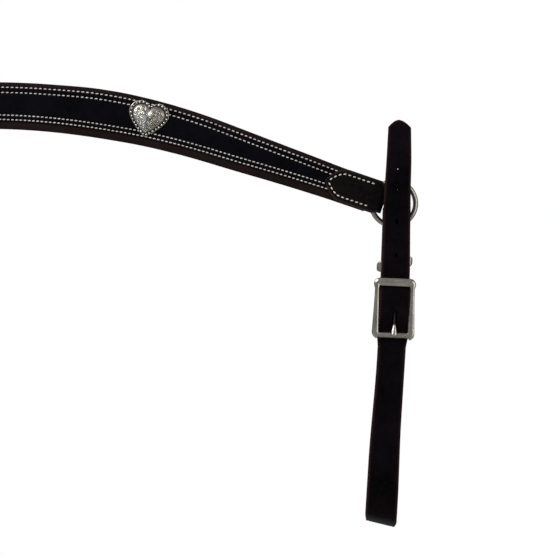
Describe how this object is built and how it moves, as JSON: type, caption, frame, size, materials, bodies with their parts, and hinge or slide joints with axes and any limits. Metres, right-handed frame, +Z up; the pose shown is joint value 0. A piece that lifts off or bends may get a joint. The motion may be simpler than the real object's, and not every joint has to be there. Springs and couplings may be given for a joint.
{
  "type": "horse breast collar",
  "caption": "Contoured leather breast collar with heart conchos, end rings and buckled tug straps.",
  "frame": {"origin": "on the lining's back face, on the band's centreline at the middle", "axes": "+X to the wearer's right as seen from the front, +Y out of the lining's back, +Z up"},
  "size_m": [0.8058, 0.0272, 0.4083],
  "materials": {
    "overlay_leather": "satin",
    "base_leather": "satin",
    "lining_leather": "matte",
    "strap_leather": "satin",
    "nickel": "polished",
    "antique_silver": "polished",
    "thread": "matte"
  },
  "bodies": {
    "collar": {"collar_lining": "lining_leather", "collar_base": "base_leather", "collar_overlay": "overlay_leather", "centre_chape": "strap_leather", "end_chape_right": "strap_leather", "heart_concho_right": "antique_silver", "concho_screw_right": "nickel", "end_chape_left": "strap_leather", "heart_concho_left": "antique_silver", "concho_screw_left": "nickel"},
    "ring_right": {"ring_right": "nickel"},
    "tug_right": {"tug_strap_right": "strap_leather", "tug_screw_post_right": "nickel", "tug_screw_cap_right": "nickel"},
    "keeper_right": {"keeper_right": "nickel"},
    "buckle_right": {"buckle_frame_right": "nickel"},
    "roller_right": {"buckle_roller_right": "nickel"},
    "tongue_right": {"buckle_tongue_right": "nickel"},
    "ring_left": {"ring_left": "nickel"},
    "tug_left": {"tug_strap_left": "strap_leather", "tug_screw_post_left": "nickel", "tug_screw_cap_left": "nickel"},
    "keeper_left": {"keeper_left": "nickel"},
    "buckle_left": {"buckle_frame_left": "nickel"},
    "roller_left": {"buckle_roller_left": "nickel"},
    "tongue_left": {"buckle_tongue_left": "nickel"},
    "dee": {"centre_dee": "nickel"}
  },
  "joints": [
    {"name": "ring_turn_right", "type": "hinge", "parent": "collar", "child": "ring_right", "pos_m": [0.38126, -0.0025, -0.08836], "axis": [0, -1, 0], "range_deg": [0, 108]},
    {"name": "tug_swing_right", "type": "hinge", "parent": "ring_right", "child": "tug_right", "pos_m": [0.38061, -0.0025, -0.10384], "axis": [0.9991, 0, -0.0419], "range_deg": [-7, 14]},
    {"name": "keeper_slide_right", "type": "slide", "parent": "tug_right", "child": "keeper_right", "axis": [0.0419, 0, 0.9991], "range_m": [0, 0.009]},
    {"name": "buckle_tilt_right", "type": "hinge", "parent": "tug_right", "child": "buckle_right", "pos_m": [0.38209, -0.01155, -0.17747], "axis": [0.9991, 0, -0.0419], "range_deg": [-0.8, 0.8]},
    {"name": "roller_spin_right", "type": "hinge", "parent": "buckle_right", "child": "roller_right", "pos_m": [0.38086, -0.01675, -0.20684], "axis": [0.9991, 0, -0.0419], "continuous": true},
    {"name": "tongue_lift_right", "type": "hinge", "parent": "buckle_right", "child": "tongue_right", "pos_m": [0.38209, -0.01155, -0.17747], "axis": [-0.9991, 0, 0.0419], "range_deg": [0, 3]},
    {"name": "ring_turn_left", "type": "hinge", "parent": "collar", "child": "ring_left", "pos_m": [-0.38126, -0.0025, -0.08836], "axis": [0, 1, 0], "range_deg": [0, 108]},
    {"name": "tug_swing_left", "type": "hinge", "parent": "ring_left", "child": "tug_left", "pos_m": [-0.38061, -0.0025, -0.10384], "axis": [0.9991, 0, 0.0419], "range_deg": [-7, 14]},
    {"name": "keeper_slide_left", "type": "slide", "parent": "tug_left", "child": "keeper_left", "axis": [-0.0419, 0, 0.9991], "range_m": [0, 0.009]},
    {"name": "buckle_tilt_left", "type": "hinge", "parent": "tug_left", "child": "buckle_left", "pos_m": [-0.38209, -0.01155, -0.17747], "axis": [0.9991, 0, 0.0419], "range_deg": [-0.8, 0.8]},
    {"name": "roller_spin_left", "type": "hinge", "parent": "buckle_left", "child": "roller_left", "pos_m": [-0.38086, -0.01675, -0.20684], "axis": [0.9991, 0, 0.0419], "continuous": true},
    {"name": "tongue_lift_left", "type": "hinge", "parent": "buckle_left", "child": "tongue_left", "pos_m": [-0.38209, -0.01155, -0.17747], "axis": [-0.9991, 0, -0.0419], "range_deg": [0, 3]},
    {"name": "dee_swing", "type": "hinge", "parent": "collar", "child": "dee", "pos_m": [0, -0.0025, 0.02685], "axis": [-1, 0, 0], "range_deg": [0, 262]}
  ]
}
